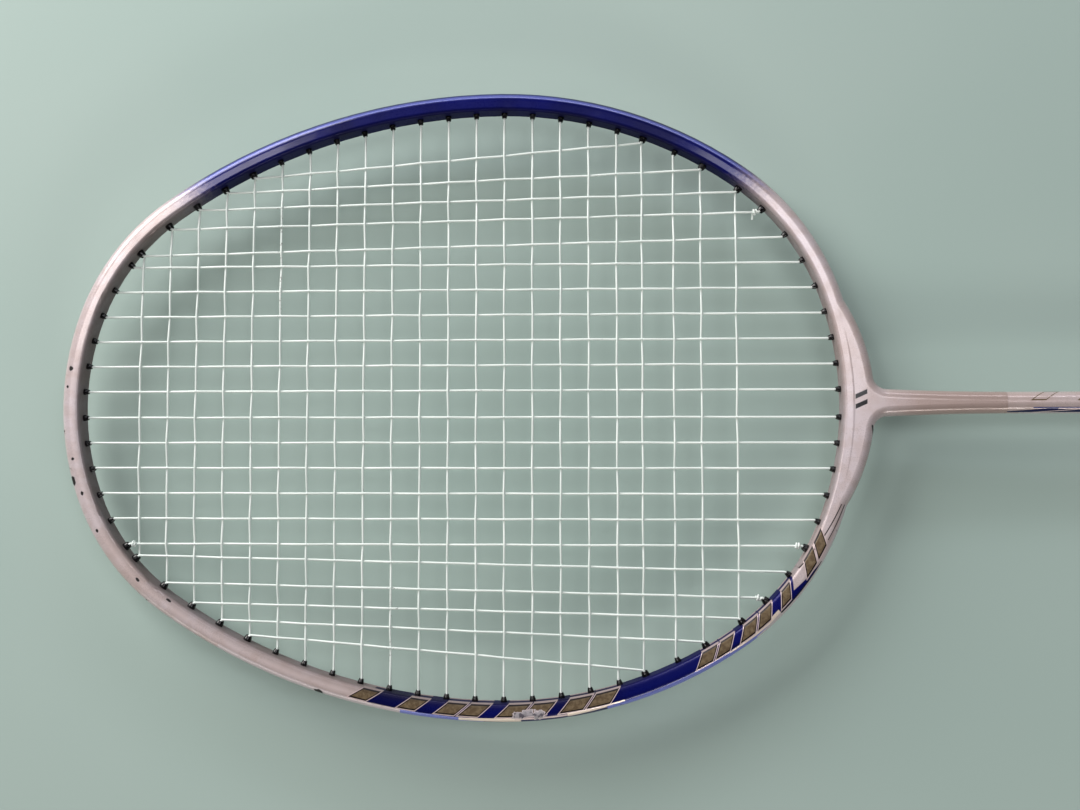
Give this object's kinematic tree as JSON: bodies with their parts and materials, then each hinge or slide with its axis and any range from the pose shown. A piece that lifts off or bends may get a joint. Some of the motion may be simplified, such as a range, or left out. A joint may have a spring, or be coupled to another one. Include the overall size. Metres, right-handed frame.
{
  "type": "badminton racket",
  "caption": "Strung badminton racket: hollow oval head with string groove and grommets, woven string bed, tee joint, slim tubular shaft, cone cap and wrapped octagonal handle.",
  "frame": {"origin": "centre of the butt cap's end face, on the axis of the shaft", "axes": "+X from the butt to the tip of the head, +Z square to the string bed, +Y the left side seen from +Z with the tip pointing away"},
  "size_m": [0.675, 0.2036, 0.0284],
  "materials": {
    "head_paint": "pearl lacquer over carbon fibre, with blue and gold panels",
    "tee_paint": "pearl lacquer over moulded composite",
    "shaft_paint": "pearl lacquer over carbon fibre",
    "string": "coated nylon multifilament",
    "grommet_nylon": "moulded nylon",
    "handle_wood": "plain sanded wood",
    "grip": "perforated synthetic leather wrap",
    "band_tape": "stretched finishing tape",
    "cone_paint": "pearl lacquer",
    "butt_plastic": "moulded",
    "badge_plastic": "smooth"
  },
  "bodies": {
    "root": {"head_frame": "head_paint", "tee_joint": "tee_paint", "shaft": "shaft_paint", "main_string": "string", "cross_string": "string", "handle_core": "handle_wood", "grip": "grip", "finishing_band": "band_tape", "cone_cap": "cone_paint", "butt_cap": "butt_plastic", "end_badge": "badge_plastic", "grommets_tip": "grommet_nylon", "grommets_throat": "grommet_nylon", "grommets_tie_off": "grommet_nylon", "grommets_shoulder_left": "grommet_nylon", "grommets_shoulder_right": "grommet_nylon", "grommets_side_left": "grommet_nylon", "grommets_side_right": "grommet_nylon", "grommets_corner_left": "grommet_nylon", "grommets_corner_right": "grommet_nylon"}
  },
  "joints": []
}
